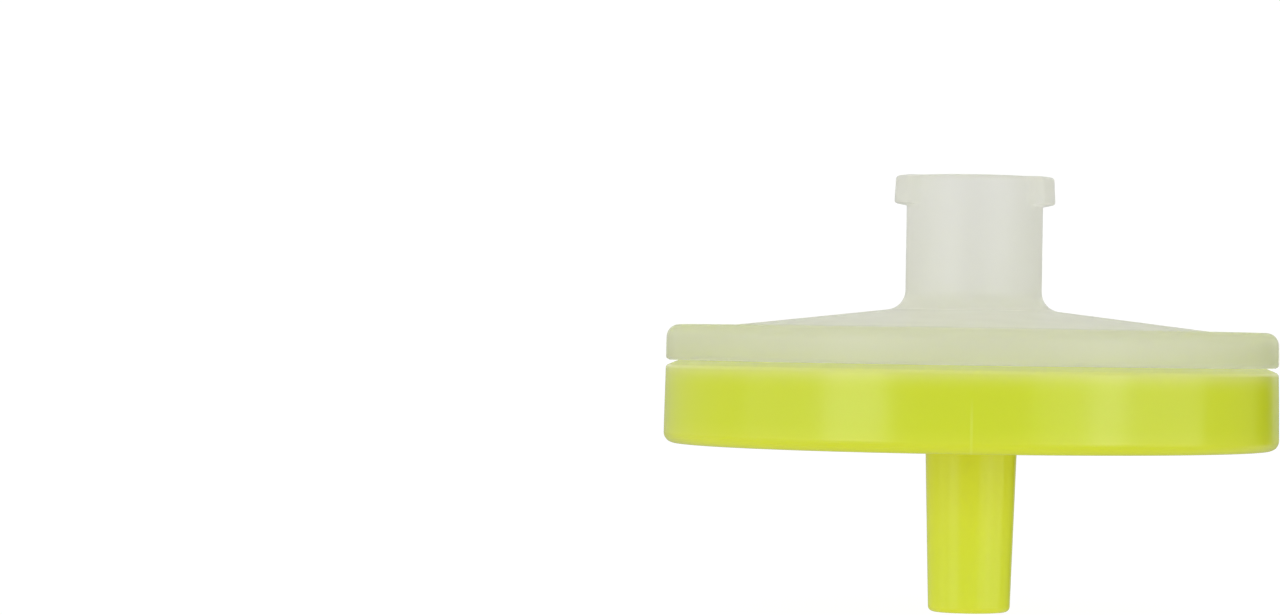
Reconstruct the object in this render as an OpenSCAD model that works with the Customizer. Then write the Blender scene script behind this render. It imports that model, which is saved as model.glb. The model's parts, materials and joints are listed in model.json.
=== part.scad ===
// Disposable syringe filter: two moulded polypropylene shells welded round a disc of membrane.
// The inlet is a female Luer lock and the outlet a male Luer slip nozzle.
// Z is the flow axis, with the outlet tip at Z = 0. All sizes are in millimetres.

/* [Membrane] */
// Diameter of the membrane disc
membrane_d = 25; // [20:0.5:30]
// Thickness of the membrane
membrane_t = 0.15; // [0.1:0.01:0.5]
// Radial room between the membrane's edge and the pocket it lies in
membrane_play = 0.15; // [0.08:0.01:0.3]
// Width of the ring on which the membrane's edge is clamped
clamp_w = 1.75; // [1.2:0.05:3]

/* [Housing] */
// Thickness of the outlet shell's wall round the pocket
rim_wall = 2.15; // [1.9:0.05:3]
// Radial room between the inlet shell's plug and the pocket
plug_play = 0.05; // [0.02:0.01:0.1]
// How far the inlet shell's plug reaches into the pocket
plug_drop = 0.8; // [0.5:0.05:2]
// Height of the inlet shell's rim above the weld
inlet_rim_h = 1.68; // [1.5:0.01:3]
// Thickness of the outlet shell's floor under the membrane
floor_t = 1.25; // [1:0.05:3]
// How far the outlet shell's skirt reaches below its floor
skirt_drop = 1.8; // [1.4:0.05:4]
// Thickness of the skirt
skirt_wall = 1.5; // [1.3:0.05:1.8]
// Draft on the rim's outer wall, in degrees; it widens downward
rim_draft = 1; // [0:0.1:2]
// Radius on the inlet shell's top outer edge
top_edge_r = 0.6; // [0.2:0.05:1]
// Radius on the outlet shell's bottom outer edge
bottom_edge_r = 0.5; // [0.2:0.05:0.8]
// Radius on the outlet shell's top outer edge
lip_r = 0.2; // [0.1:0.05:0.3]
// Depth of the groove that the weld leaves round the rim
seam_depth = 0.7; // [0.5:0.05:0.8]
// Height of that groove at the rim, where the outlet shell slopes down from the weld
seam_gap = 0.28; // [0.15:0.01:0.35]

/* [Inlet] */
// Height of the Luer hub above the inlet shell's rim
hub_h = 7.35; // [7:0.05:12]
// Outer diameter of the hub
hub_d = 6.6; // [6.2:0.05:6.7]
// Diameter of the Luer socket at its mouth
socket_d = 4.3; // [4.27:0.005:4.315]
// Depth of the Luer socket
socket_depth = 7.5; // [7:0.1:8]
// Diameter of the throat below the socket
throat_d = 3.6; // [2:0.1:3.7]
// Angle of the cone between the rim and the hub, in degrees
cone_angle = 6.6; // [4:0.05:12]
// Width of the flat band between the cone and the disc's edge
deck_w = 3.1; // [2.8:0.1:5]
// Radius where the hub runs into the cone
hub_fillet_r = 0.95; // [0.4:0.05:1.5]
// Distance across the two lock lugs, at their lower edges
lug_span = 7.8; // [7.6:0.05:7.9]
// Width of a lug
lug_w = 4.1; // [2.5:0.1:5]
// Height of a lug at its outer face
lug_h = 1.3; // [1:0.01:1.8]
// How much higher a lug is where it meets the hub
lug_slope = 0.12; // [0:0.01:0.4]
// Draft on a lug's outer face, in degrees
lug_draft = 3; // [0:0.5:5]
// Diameter of the round chamber below the throat
plenum_d = 8.2; // [7:0.1:10]
// Distance from the middle of the gate dimple to the edge of the disc
gate_inset = 2; // [1.4:0.05:2.4]
// Diameter of the gate dimple
gate_d = 1.25; // [0.8:0.05:1.6]
// Depth of the gate dimple
gate_depth = 0.15; // [0.05:0.01:0.3]
// Diameter of the nub left in the dimple
gate_nub_d = 0.5; // [0.2:0.05:0.7]
// Direction of the gate round the axis, in degrees
gate_angle = -80.3; // [-180:0.1:180]

/* [Outlet] */
// Length of the nozzle below the skirt
nozzle_l = 8; // [7.5:0.1:12]
// Diameter of the nozzle at its tip
tip_d = 3.95; // [3.925:0.005:3.99]
// Radius on the nozzle's tip
tip_edge_r = 0.25; // [0.1:0.05:0.4]
// Diameter of the outlet bore
bore_d = 2; // [1:0.1:2.6]
// Diameter of the round sump in which the channels meet
sump_d = 4.4; // [4.2:0.1:5]
// Diameter of the funnel between the sump and the bore
funnel_d = 3; // [2.8:0.1:3.4]
// Radius where the nozzle runs into the floor
nozzle_fillet_r = 0.8; // [0.3:0.05:1.2]

/* [Flow pattern] */
// Number of radial channels on each side of the membrane, an even number
channel_count = 8; // [4:2:12]
// Width of a channel
channel_w = 1.3; // [0.8:0.05:2]
// Direction of the first channel, in degrees
channel_phase = 10; // [0:1:45]
// Depth of a channel in the inlet shell, at its outer end
inlet_channel_depth = 0.6; // [0.4:0.05:0.8]
// Depth of a channel in the outlet shell
outlet_channel_depth = 0.4; // [0.3:0.05:0.6]
// Distance from one concentric groove to the next
groove_pitch = 0.96; // [0.8:0.01:1.2]
// Width of a groove at its open side
groove_w = 0.4; // [0.3:0.01:0.5]
// Depth of a groove
groove_depth = 0.35; // [0.1:0.05:0.4]
// Lean of a groove's walls, in degrees
groove_draft = 10; // [0:1:15]
// Room above the membrane, under the inlet shell's ridges
headspace = 0.1; // [0.05:0.01:0.3]

/* [Hidden] */
$fn = 128;
// Steps in each rounded corner
arc_steps = 8;
// How far a cutter reaches past the face it cuts
over = 0.5;
// Taper of a Luer cone, as change of diameter for each unit of length
luer_taper = 0.06;
// Radius that takes the sharpness off an edge
edge_r = 0.15;
// Radius where the flat deck turns into the cone
deck_blend_r = 6;
// Radius in the corner between the skirt and the floor
skirt_fillet_r = 0.5;

natural = [0.86, 0.87, 0.83];
white = [0.97, 0.97, 0.96];
lime = [0.8, 0.87, 0.28];

pocket_r = membrane_d / 2 + membrane_play;
plug_r = pocket_r - plug_play;
pattern_r = membrane_d / 2 - clamp_w;
housing_r = pocket_r + rim_wall;
deck_r = housing_r - deck_w;
brow_r = housing_r - inlet_rim_h * tan(rim_draft);
foot_r = housing_r + (plug_drop + membrane_t + floor_t + skirt_drop) * tan(rim_draft);
hub_r = hub_d / 2;

floor_z = nozzle_l + skirt_drop;
seat_z = floor_z + floor_t;
plug_z = seat_z + membrane_t;
crest_z = plug_z + headspace;
weld_z = plug_z + plug_drop;
deck_z = weld_z + inlet_rim_h;
top_z = deck_z + hub_h;

function luer_r(mouth_d, depth) = (mouth_d - luer_taper * depth) / 2;
function cone_z(r) = deck_z + (deck_r - r) * tan(cone_angle);
function inlet_channel_z(r) = crest_z + inlet_channel_depth + (pattern_r - r) * tan(cone_angle);

// Item i of a list that closes on itself
function wrap(list, i) = list[(i + len(list)) % len(list)];
function xy(c) = [c[0], c[1]];
function unit(v) = v / norm(v);

// Arc that rounds corner c of an outline, between the corners before and after it
function corner_arc(before, c, after) =
    let (
        a = unit(xy(before) - xy(c)),
        b = unit(xy(after) - xy(c)),
        half = acos(a * b) / 2,
        centre = xy(c) + unit(a + b) * c[2] / sin(half),
        start = xy(c) + a * c[2] / tan(half) - centre,
        sweep = 180 - 2 * half,
        turn = sign(a[0] * b[1] - a[1] * b[0])
    )
    [for (i = [0 : arc_steps])
        let (t = -turn * sweep * i / arc_steps)
        centre + [start[0] * cos(t) - start[1] * sin(t), start[0] * sin(t) + start[1] * cos(t)]];

// Points of a closed outline of [x, y, radius] corners, each corner turned into an arc
function rounded(corners) = [
    for (i = [0 : len(corners) - 1])
        let (c = corners[i])
        each c[2] > 0 ? corner_arc(wrap(corners, i - 1), c, wrap(corners, i + 1)) : [xy(c)]
];

// Half section of the inlet shell, from the socket's mouth outward and back under the disc
module inlet_section() {
    plenum_r = plenum_d / 2;
    plenum_z = inlet_channel_z(plenum_r);
    socket_z = top_z - socket_depth;
    polygon(rounded([
        [luer_r(socket_d, 0), top_z, edge_r],
        [hub_r, top_z, edge_r],
        [hub_r, cone_z(hub_r), hub_fillet_r],
        [deck_r, deck_z, deck_blend_r],
        [brow_r, deck_z, top_edge_r],
        [housing_r, weld_z, edge_r],
        [plug_r, weld_z, 0],
        [plug_r, plug_z, edge_r],
        [pattern_r, plug_z, 0],
        [pattern_r, crest_z, 0],
        [plenum_r, crest_z, 0],
        [plenum_r, plenum_z, 0],
        [throat_d / 2, plenum_z, edge_r],
        [throat_d / 2, socket_z, 0],
        [luer_r(socket_d, socket_depth), socket_z, 0]
    ]));
}

// The two lugs of the Luer lock, cut from one ring by the lug's width
module lugs() {
    lug_r = lug_span / 2;
    hub_wall = hub_r - luer_r(socket_d, 0);
    root_r = hub_r - edge_r - hub_wall / 3;
    under_z = top_z - lug_h - lug_slope;
    intersection() {
        rotate_extrude()
            polygon(rounded([
                [root_r, top_z, 0],
                [lug_r - lug_h * tan(lug_draft), top_z, edge_r],
                [lug_r, top_z - lug_h, edge_r],
                [hub_r, under_z, 0],
                [root_r, under_z, 0]
            ]));
        translate([-lug_span, -lug_w / 2, under_z - over])
            cube([2 * lug_span, lug_w, lug_h + lug_slope + 2 * over]);
    }
}

// Cutter for the concentric grooves, open at z = 0 and cutting upward
module grooves(inner_r) {
    ridge_w = groove_pitch - groove_w;
    lean = groove_depth * tan(groove_draft);
    spread = over * tan(groove_draft);
    rotate_extrude()
        for (r = [inner_r + ridge_w : groove_pitch : pattern_r - groove_w - ridge_w / 2])
            polygon([
                [r - spread, -over],
                [r + groove_w + spread, -over],
                [r + groove_w - lean, groove_depth],
                [r + lean, groove_depth]
            ]);
}

// Cutter for the radial channels, open at z = 0, with a roof that rises inward by slope degrees
module channels(inner_r, depth, slope) {
    intersection() {
        rotate_extrude()
            polygon([
                [inner_r - over, -over],
                [pattern_r, -over],
                [pattern_r, depth],
                [inner_r, depth + (pattern_r - inner_r) * tan(slope)],
                [inner_r - over, depth / 2]
            ]);
        for (i = [0 : channel_count / 2 - 1])
            rotate(channel_phase + i * 360 / channel_count)
                translate([-housing_r, -channel_w / 2, -2 * over])
                    cube([2 * housing_r, channel_w, housing_r]);
    }
}

// Dimple and nub where the melt entered the mould
module gate_cut() {
    nub_h = gate_depth * 2 / 3;
    rotate(gate_angle)
        translate([housing_r - gate_inset, 0, deck_z - gate_depth])
            difference() {
                cylinder(d = gate_d, h = gate_depth + over);
                translate([0, 0, -over])
                    cylinder(d = gate_nub_d, h = over + nub_h);
            }
}

module inlet_shell() {
    color(natural)
    difference() {
        union() {
            rotate_extrude()
                inlet_section();
            lugs();
        }
        translate([0, 0, crest_z]) {
            grooves(plenum_d / 2);
            channels(plenum_d / 2, inlet_channel_depth, cone_angle);
        }
        gate_cut();
    }
}

module membrane() {
    color(white)
    translate([0, 0, seat_z])
        cylinder(d = membrane_d, h = membrane_t);
}

// Half section of the outlet shell, from the bore's tip outward and back across the pocket
module outlet_section() {
    bore_r = bore_d / 2;
    funnel_r = funnel_d / 2;
    sump_r = sump_d / 2;
    sump_z = seat_z - outlet_channel_depth;
    skirt_r = housing_r - skirt_wall;
    polygon(rounded([
        [bore_r, 0, 0],
        [tip_d / 2, 0, tip_edge_r],
        [luer_r(tip_d, -floor_z), floor_z, nozzle_fillet_r],
        [skirt_r, floor_z, skirt_fillet_r],
        [skirt_r, nozzle_l, edge_r],
        [foot_r, nozzle_l, bottom_edge_r],
        [housing_r, weld_z - seam_gap, lip_r],
        [housing_r - seam_depth, weld_z, 0],
        [pocket_r, weld_z, 0],
        [pocket_r, seat_z, 0],
        [sump_r, seat_z, 0],
        [sump_r, sump_z, 0],
        [funnel_r, sump_z, 0],
        [bore_r, sump_z - (funnel_r - bore_r), 0]
    ]));
}

module outlet_shell() {
    color(lime)
    difference() {
        rotate_extrude()
            outlet_section();
        translate([0, 0, seat_z])
            mirror([0, 0, 1]) {
                grooves(sump_d / 2);
                channels(sump_d / 2, outlet_channel_depth, 0);
            }
    }
}

inlet_shell();
membrane();
outlet_shell();
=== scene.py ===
"""A disposable syringe filter against a white field, seen from the side in soft, even light."""
import json
import math

import bpy
from mathutils import Matrix, Vector

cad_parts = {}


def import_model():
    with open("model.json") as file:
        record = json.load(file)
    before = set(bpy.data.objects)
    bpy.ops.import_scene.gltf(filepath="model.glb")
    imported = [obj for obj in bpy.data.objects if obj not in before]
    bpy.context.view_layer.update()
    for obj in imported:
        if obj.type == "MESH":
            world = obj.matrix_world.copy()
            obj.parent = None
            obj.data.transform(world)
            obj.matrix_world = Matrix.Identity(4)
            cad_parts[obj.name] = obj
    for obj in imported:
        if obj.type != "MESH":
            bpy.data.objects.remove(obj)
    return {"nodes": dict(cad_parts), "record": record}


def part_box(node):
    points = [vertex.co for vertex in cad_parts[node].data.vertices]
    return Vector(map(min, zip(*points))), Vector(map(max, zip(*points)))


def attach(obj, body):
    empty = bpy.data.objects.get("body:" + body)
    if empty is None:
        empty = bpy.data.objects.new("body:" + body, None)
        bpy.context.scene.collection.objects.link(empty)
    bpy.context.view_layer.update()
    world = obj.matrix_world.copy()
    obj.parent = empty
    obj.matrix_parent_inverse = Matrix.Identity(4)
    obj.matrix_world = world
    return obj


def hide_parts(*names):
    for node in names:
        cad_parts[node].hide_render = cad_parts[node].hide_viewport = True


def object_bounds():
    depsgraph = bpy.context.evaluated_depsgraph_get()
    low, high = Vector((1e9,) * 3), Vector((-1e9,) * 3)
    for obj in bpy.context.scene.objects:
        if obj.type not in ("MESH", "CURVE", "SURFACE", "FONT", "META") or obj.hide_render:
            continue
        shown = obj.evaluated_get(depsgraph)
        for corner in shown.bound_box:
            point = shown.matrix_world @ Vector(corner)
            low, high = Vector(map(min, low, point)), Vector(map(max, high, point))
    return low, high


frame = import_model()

MM = 0.001
CAD_BOX = [list(corner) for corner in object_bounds()]
NODES = frame["nodes"]
WHITE = (1, 1, 1, 1)

# Heights and radii that come from the frame
RIM_R, _, WELD_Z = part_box("outlet_shell")[1]
MEMBRANE_R, _, CLAMP_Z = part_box("membrane")[1]
MOUNTS = {mount["name"]: mount for mount in frame["record"]["mounts"]}
SKIRT_Z = MOUNTS["rim_underside"]["pos_m"][2]

# Weld: how far two heights may differ and still be one face, and how far the faces are sunk
TOUCH = 1e-3 * MM
WELD_OVERLAP = 0.02 * MM

# Polypropylene of both shells: its roughness follows the middle of the noise's range
IOR = 1.49
DRIFTS_PER_METRE = 0.6 / MM
NOISE_RANGE = (0.3, 0.7)

# Natural polypropylene
NATURAL_ROUGHNESS = 0.37
NATURAL_DRIFT = 0.03
EDGE_ROUND = 0.35 * MM
EDGE_SAMPLES = 4
HAZE_PER_METRE = 1.3 / MM
HAZE_FORWARD = 0.873
TINT_PER_METRE = 0.009 / MM
TINT = (1, 0.97, 0.2, 1)

# Lime polypropylene
LIME_ROUGHNESS = 0.21
LIME_DRIFT = 0.08
LIME_SPREAD = (1, 1, 0.4)
LIME_DEPTH = 1.5 * MM
LIME = (0.74, 0.82, 0.038, 1)

# Its zones painted paler: painted light through the thin skirt, painted light on the nozzle under the disc,
# and the painted glow of the natural shell on the lip; also a fine witness line. Their colours, and how far
# they reach and fade
LIME_SKIRT_PAINTED_LIGHT = (0.76, 0.83, 0.065, 1)
LIME_NOZZLE_PAINTED_LIGHT = (0.92, 0.99, 0.052, 1)
LIME_TIP_PAINTED_LIGHT = (0.79, 0.875, 0.066, 1)
LIME_LIP_PAINTED_GLOW = (0.80, 0.85, 0.45, 1)
LIME_LINE = (0.78, 0.86, 0.09, 1)
LIP_GLOW = 1.5 * MM
LIP_POWER = 3.0
OUTER_WALL = (RIM_R - 0.8 * MM, RIM_R - 0.6 * MM)
SKIRT_GLOW = 1.2 * MM
EDGE_BLUR = 0.05 * MM
LINE_HALF_WIDTH = 0.08 * MM
LINE_TOP = WELD_Z - 1.4 * MM
LINE_FADE = 1.2 * MM

# Membrane
MEMBRANE_DIM = (0.93, 0.95, 0.92, 1)
MEMBRANE_BRIGHT = (0.99, 1.0, 0.98, 1)
MEMBRANE_ROUGHNESS = 0.8
PORES_PER_METRE = 8.0 / MM
PORE_DEPTH = 0.005 * MM

# Floor
FLOOR_HALF = 30.0
FLOOR_DROP = 0.02 * MM
FLOOR_GREY = (0.08, 0.08, 0.08, 1)
FLOOR_GLOW = 0.97

# Surround: what the camera sees, the level all round, the level that mirrored light finds under the horizon,
# the heights between which it changes, and the vector towards which all is a little brighter.
# Each gap has an azimuth and a half width in degrees, and a level.
BACKDROP = 1.02
SURROUND = 0.68
BELOW = 0.33
HORIZON = (-0.03, 0.08)
TILT = (-0.08, 0.08, -0.08)
GAPS = ((140, 9.5, 0.0), (113, 19, 0.5))
GAP_BLUR = 3.0

# Soft lights: azimuth in degrees, width and height in metres, and radiance
LIGHTS = {
    "key_left": (-43, 0.22, 0.25, 1.9),
    "fill_left": (-60, 0.6, 0.25, 0.5),
    "key_right": (50, 0.14, 0.25, 1.8),
    "fill_right": (58, 0.7, 0.25, 0.9),
}
LIGHT_ELEVATION = 2
LIGHT_DISTANCE = 0.5
LIGHT_AIM = Vector((0, 0, CAD_BOX[1][2] / 2))

# Camera
SENSOR = 36
LENS = 109.2
SHIFT_X = -0.26
SHIFT_Y = 0.0276
CAMERA_PLACE = (0, -188 * MM, 13 * MM)
CAMERA_ROLL = 0.88
CLIP = (0.01, 100)

# Light paths
BOUNCES = 128


def material(name):
    """A new material, its nodes, its links and its Principled shader."""
    made = bpy.data.materials.new(name)
    made.use_nodes = True
    tree = made.node_tree
    return made, tree.nodes, tree.links, tree.nodes["Principled BSDF"]


def chain(nodes, links, operation, *values):
    """A Math node; each value is a socket to link or a number to set."""
    made = nodes.new("ShaderNodeMath")
    made.operation = operation
    for socket, value in zip(made.inputs, values):
        if isinstance(value, bpy.types.NodeSocket):
            links.new(value, socket)
        else:
            socket.default_value = value
    return made.outputs["Value"]


def product(nodes, links, value, *factors):
    """A value times all the factors."""
    for factor in factors:
        value = chain(nodes, links, "MULTIPLY", value, factor)
    return value


def mapped(nodes, links, value, source, target=(0.0, 1.0)):
    """A Map Range node that takes the source range to the target range and stops at both ends."""
    made = nodes.new("ShaderNodeMapRange")
    made.inputs["From Min"].default_value, made.inputs["From Max"].default_value = source
    made.inputs["To Min"].default_value, made.inputs["To Max"].default_value = target
    links.new(value, made.inputs["Value"])
    return made.outputs["Result"]


def blended(nodes, links, amount, first, second):
    """A colour that goes from the first to the second as the amount goes from 0 to 1.

    The first is a socket to link or a colour to set.
    """
    made = nodes.new("ShaderNodeMix")
    made.data_type = "RGBA"
    links.new(amount, made.inputs["Factor"])
    start, end = (socket for socket in made.inputs if socket.type == "RGBA")
    if isinstance(first, bpy.types.NodeSocket):
        links.new(first, start)
    else:
        start.default_value = first
    end.default_value = second
    return next(socket for socket in made.outputs if socket.type == "RGBA")


def noise(nodes, links, per_metre, detail):
    """Soft noise through the object's own space."""
    place = nodes.new("ShaderNodeTexCoord")
    made = nodes.new("ShaderNodeTexNoise")
    made.inputs["Scale"].default_value = per_metre
    made.inputs["Detail"].default_value = detail
    links.new(place.outputs["Object"], made.inputs["Vector"])
    return made.outputs["Fac"]


def moulded(nodes, links, shader, roughness, drift):
    """The finish of a polished mould: a roughness that drifts a little from place to place."""
    spread = (roughness * (1 - drift), roughness * (1 + drift))
    finish = mapped(nodes, links, noise(nodes, links, DRIFTS_PER_METRE, 0.0), NOISE_RANGE, spread)
    links.new(finish, shader.inputs["Roughness"])
    shader.inputs["IOR"].default_value = IOR


def haze(nodes, links):
    """A fine white haze with a faint yellow tint, all through the plastic."""
    scatter = nodes.new("ShaderNodeVolumeScatter")
    scatter.inputs["Density"].default_value = HAZE_PER_METRE
    scatter.inputs["Anisotropy"].default_value = HAZE_FORWARD
    scatter.inputs["Color"].default_value = WHITE
    tint = nodes.new("ShaderNodeVolumeAbsorption")
    tint.inputs["Density"].default_value = TINT_PER_METRE
    tint.inputs["Color"].default_value = TINT
    both = nodes.new("ShaderNodeAddShader")
    links.new(scatter.outputs["Volume"], both.inputs[0])
    links.new(tint.outputs["Volume"], both.inputs[1])
    return both.outputs["Shader"]


def natural_polypropylene():
    """Uncoloured polypropylene: clear at the surface, hazy inside, with edges that look a little rounded."""
    made, nodes, links, shader = material("natural_polypropylene")
    shader.inputs["Base Color"].default_value = WHITE
    shader.inputs["Transmission Weight"].default_value = 1.0
    moulded(nodes, links, shader, NATURAL_ROUGHNESS, NATURAL_DRIFT)
    rounded = nodes.new("ShaderNodeBevel")
    rounded.samples = EDGE_SAMPLES
    rounded.inputs["Radius"].default_value = EDGE_ROUND
    links.new(rounded.outputs["Normal"], shader.inputs["Normal"])
    links.new(haze(nodes, links), nodes["Material Output"].inputs["Volume"])
    return made


def lime_painted_light_and_line(nodes, links):
    """The zones painted paler, each as an amount from 0 to 1 with its colour; a later one lies on top.

    The skirt, the nozzle, its tip and the lip under the weld carry painted light; the last zone is a fine
    witness line up the rim.
    """
    place = nodes.new("ShaderNodeTexCoord")
    axes = nodes.new("ShaderNodeSeparateXYZ")
    links.new(place.outputs["Object"], axes.inputs["Vector"])
    x, y, z = axes.outputs
    radius = chain(nodes, links, "MULTIPLY", y, y)
    radius = chain(nodes, links, "MULTIPLY_ADD", x, x, radius)
    radius = chain(nodes, links, "SQRT", radius)
    outer = mapped(nodes, links, radius, OUTER_WALL)

    # painted light shining through the thin skirt, stronger towards its lower edge
    skirt = mapped(nodes, links, z, (SKIRT_Z + SKIRT_GLOW, SKIRT_Z))
    # painted light on the nozzle: palest just under the skirt where the disc's shade falls, less pale
    # towards the tip
    nozzle = mapped(nodes, links, z, (SKIRT_Z, SKIRT_Z - EDGE_BLUR))
    tip = mapped(nodes, links, z, (SKIRT_Z, 0.0))
    # painted light from the natural shell above: its reflection on the lip and its glow into the lime,
    # fading down from the weld
    lip = mapped(nodes, links, z, (WELD_Z - LIP_GLOW, WELD_Z))
    lip = chain(nodes, links, "POWER", lip, LIP_POWER)
    aside = chain(nodes, links, "ABSOLUTE", x)
    middle = mapped(nodes, links, aside, (LINE_HALF_WIDTH, LINE_HALF_WIDTH / 2))
    front = mapped(nodes, links, y, (0.0, -EDGE_BLUR))
    low = mapped(nodes, links, z, (LINE_TOP, LINE_TOP - LINE_FADE))
    return (
        (skirt, LIME_SKIRT_PAINTED_LIGHT),
        (nozzle, LIME_NOZZLE_PAINTED_LIGHT),
        (tip, LIME_TIP_PAINTED_LIGHT),
        (product(nodes, links, lip, outer), LIME_LIP_PAINTED_GLOW),
        (product(nodes, links, middle, front, low, outer), LIME_LINE),
    )


def lime_polypropylene():
    """The same plastic with a lime green dye that hides what is behind it; its colour has light painted in,
    paler on the skirt, the nozzle and the lip under the weld.
    """
    made, nodes, links, shader = material("lime_polypropylene")
    colour = LIME
    # the painted light of the skirt, nozzle, tip and lip, and the witness line, laid over the dye
    for amount, paler in lime_painted_light_and_line(nodes, links):
        colour = blended(nodes, links, amount, colour, paler)
    links.new(colour, shader.inputs["Base Color"])
    moulded(nodes, links, shader, LIME_ROUGHNESS, LIME_DRIFT)
    shader.inputs["Subsurface Weight"].default_value = 1.0
    shader.inputs["Subsurface Radius"].default_value = LIME_SPREAD
    shader.inputs["Subsurface Scale"].default_value = LIME_DEPTH
    return made


def membrane_white():
    """White filter membrane, matt, with the fine uneven grain of its pores."""
    made, nodes, links, shader = material("membrane_white")
    pores = noise(nodes, links, PORES_PER_METRE, 2.0)
    links.new(blended(nodes, links, pores, MEMBRANE_DIM, MEMBRANE_BRIGHT), shader.inputs["Base Color"])
    relief = nodes.new("ShaderNodeBump")
    relief.inputs["Distance"].default_value = PORE_DEPTH
    links.new(pores, relief.inputs["Height"])
    links.new(relief.outputs["Normal"], shader.inputs["Normal"])
    shader.inputs["Roughness"].default_value = MEMBRANE_ROUGHNESS
    return made


def dress(mesh, made):
    """Give a mesh one material in place of those it has."""
    mesh.materials.clear()
    mesh.materials.append(made)


def sink_face(mesh, z, inner_r):
    """Lower what lies at height z outside radius inner_r by the weld's overlap."""
    for vertex in mesh.vertices:
        x, y, height = vertex.co
        if abs(height - z) < TOUCH and math.hypot(x, y) > inner_r:
            vertex.co.z -= WELD_OVERLAP


def inlet_housing(made):
    """The inlet shell as welded: its weld and clamp faces sink a hair into what they touch; no air shows."""
    shell = NODES["inlet_shell"].copy()
    shell.data = shell.data.copy()
    shell.name = "inlet_housing"
    for key in list(shell.keys()):
        del shell[key]
    shell.parent = None
    bpy.context.scene.collection.objects.link(shell)
    sink_face(shell.data, WELD_Z, MEMBRANE_R)
    sink_face(shell.data, CLAMP_Z, MEMBRANE_R / 2)
    dress(shell.data, made)
    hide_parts("inlet_shell")
    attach(shell, "root")


def floor():
    """A wide pale floor just under the tip; it lights nothing, so that the surround stays even."""
    corners = [(x * FLOOR_HALF, y * FLOOR_HALF, 0) for x, y in ((-1, -1), (1, -1), (1, 1), (-1, 1))]
    mesh = bpy.data.meshes.new("floor")
    mesh.from_pydata(corners, [], [(0, 1, 2, 3)])
    made, _, _, shader = material("light_table")
    shader.inputs["Base Color"].default_value = FLOOR_GREY
    shader.inputs["Roughness"].default_value = 1.0
    shader.inputs["Specular IOR Level"].default_value = 0.0
    shader.inputs["Emission Color"].default_value = WHITE
    shader.inputs["Emission Strength"].default_value = FLOOR_GLOW
    mesh.materials.append(made)
    obj = bpy.data.objects.new("floor", mesh)
    obj.location.z = -FLOOR_DROP
    obj.visible_diffuse = False
    obj.visible_glossy = False
    obj.visible_transmission = False
    bpy.context.scene.collection.objects.link(obj)


def heading(azimuth, elevation=0.0):
    """The direction at an azimuth and elevation in degrees; azimuth 0 is the camera's side, 90 its right."""
    turn = math.radians(azimuth)
    lift = math.radians(elevation)
    return Vector((math.sin(turn) * math.cos(lift), -math.cos(turn) * math.cos(lift), math.sin(lift)))


def along(nodes, links, vector, direction):
    """How far a vector socket reaches along a direction."""
    made = nodes.new("ShaderNodeVectorMath")
    made.operation = "DOT_PRODUCT"
    made.inputs[1].default_value = direction
    links.new(vector, made.inputs[0])
    return made.outputs["Value"]


def surround_strength(nodes, links, ray):
    """The surround's strength by direction: dim in the gaps, and for mirrored light under the horizon."""
    direction = nodes.new("ShaderNodeTexCoord").outputs["Generated"]
    axes = nodes.new("ShaderNodeSeparateXYZ")
    links.new(direction, axes.inputs["Vector"])
    through = chain(nodes, links, "SUBTRACT", 1.0, ray.outputs["Is Glossy Ray"])
    through = chain(nodes, links, "MAXIMUM", through, ray.outputs["Is Transmission Ray"])
    level = mapped(nodes, links, axes.outputs["Z"], HORIZON, (BELOW / SURROUND, 1.0))
    level = chain(nodes, links, "MAXIMUM", level, through)
    for azimuth, reach, dim in GAPS:
        near = along(nodes, links, direction, heading(azimuth))
        edge = [math.cos(math.radians(reach + blur)) for blur in (GAP_BLUR, -GAP_BLUR)]
        level = product(nodes, links, level, mapped(nodes, links, near, edge, (1.0, dim)))
    tilted = along(nodes, links, direction, TILT)
    tilted = chain(nodes, links, "MULTIPLY_ADD", tilted, SURROUND, SURROUND)
    return product(nodes, links, level, tilted)


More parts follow.
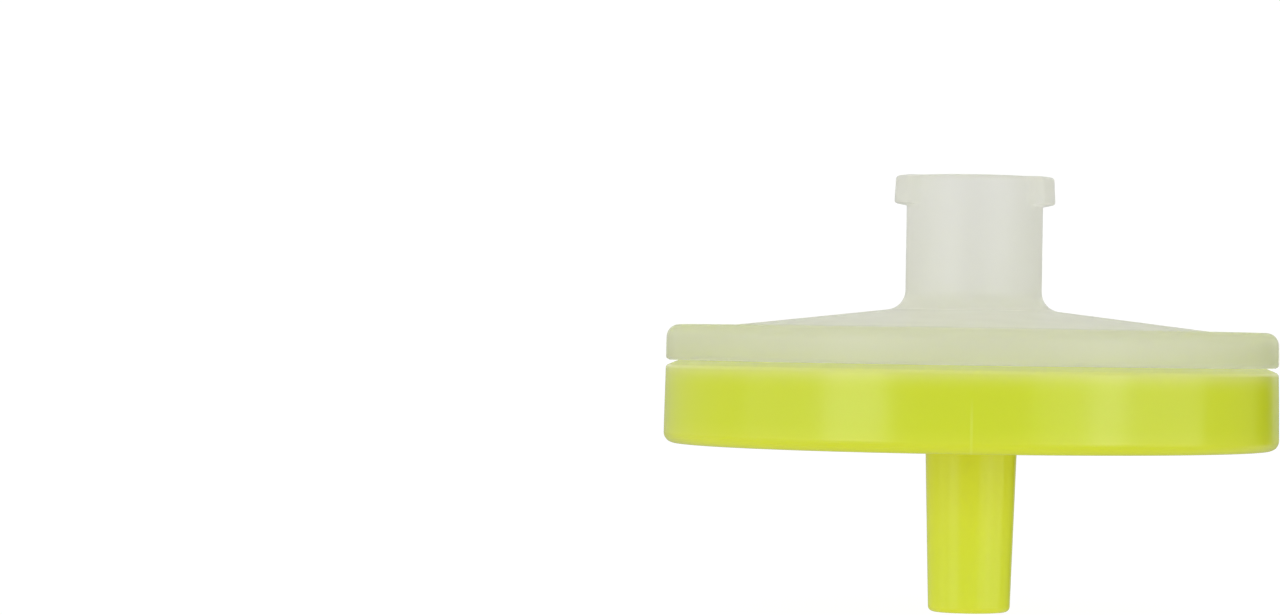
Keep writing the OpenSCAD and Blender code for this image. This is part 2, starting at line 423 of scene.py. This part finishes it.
def world():
    """White to the camera, and a soft surround to everything else."""
    made = bpy.data.worlds.new("studio")
    made.use_nodes = True
    nodes, links = made.node_tree.nodes, made.node_tree.links
    ray = nodes.new("ShaderNodeLightPath")
    around = nodes["Background"]
    around.inputs["Color"].default_value = WHITE
    links.new(surround_strength(nodes, links, ray), around.inputs["Strength"])
    backdrop = nodes.new("ShaderNodeBackground")
    backdrop.inputs["Color"].default_value = WHITE
    backdrop.inputs["Strength"].default_value = BACKDROP
    choose = nodes.new("ShaderNodeMixShader")
    links.new(ray.outputs["Is Camera Ray"], choose.inputs["Fac"])
    links.new(around.outputs["Background"], choose.inputs[1])
    links.new(backdrop.outputs["Background"], choose.inputs[2])
    links.new(choose.outputs["Shader"], nodes["World Output"].inputs["Surface"])
    bpy.context.scene.world = made


def softbox(name, azimuth, width, height, radiance):
    """A soft light that faces the filter from an azimuth."""
    light = bpy.data.lights.new(name, "AREA")
    light.shape = "RECTANGLE"
    light.size = width
    light.size_y = height
    light.energy = radiance * width * height * math.pi
    obj = bpy.data.objects.new(name, light)
    place = heading(azimuth, LIGHT_ELEVATION)
    obj.location = LIGHT_AIM + LIGHT_DISTANCE * place
    obj.rotation_euler = place.to_track_quat("Z", "Y").to_euler()
    bpy.context.scene.collection.objects.link(obj)


def camera():
    """Level with the inlet shell's deck, close by, with the filter in the right half of the frame."""
    data = bpy.data.cameras.new("camera")
    data.sensor_width = SENSOR
    data.lens = LENS
    data.shift_x = SHIFT_X
    data.shift_y = SHIFT_Y
    data.clip_start, data.clip_end = CLIP
    obj = bpy.data.objects.new("camera", data)
    upright = Matrix.Rotation(math.radians(90), 3, "X")
    roll = Matrix.Rotation(math.radians(CAMERA_ROLL), 3, "Z")
    obj.location = CAMERA_PLACE
    obj.rotation_euler = (upright @ roll).to_euler()
    bpy.context.scene.collection.objects.link(obj)
    bpy.context.scene.camera = obj


def light_paths():
    """Let light wander through the haze as far as it goes, with no smoothing of the surfaces it meets."""
    cycles = bpy.context.scene.cycles
    cycles.max_bounces = BOUNCES
    cycles.diffuse_bounces = BOUNCES
    cycles.glossy_bounces = BOUNCES
    cycles.transmission_bounces = BOUNCES
    cycles.volume_bounces = BOUNCES
    cycles.blur_glossy = 0.0


inlet_housing(natural_polypropylene())
dress(NODES["membrane"].data, membrane_white())
dress(NODES["outlet_shell"].data, lime_polypropylene())
floor()
world()
for light, facts in LIGHTS.items():
    softbox(light, *facts)
camera()
light_paths()
bpy.context.scene.view_settings.view_transform = "Standard"
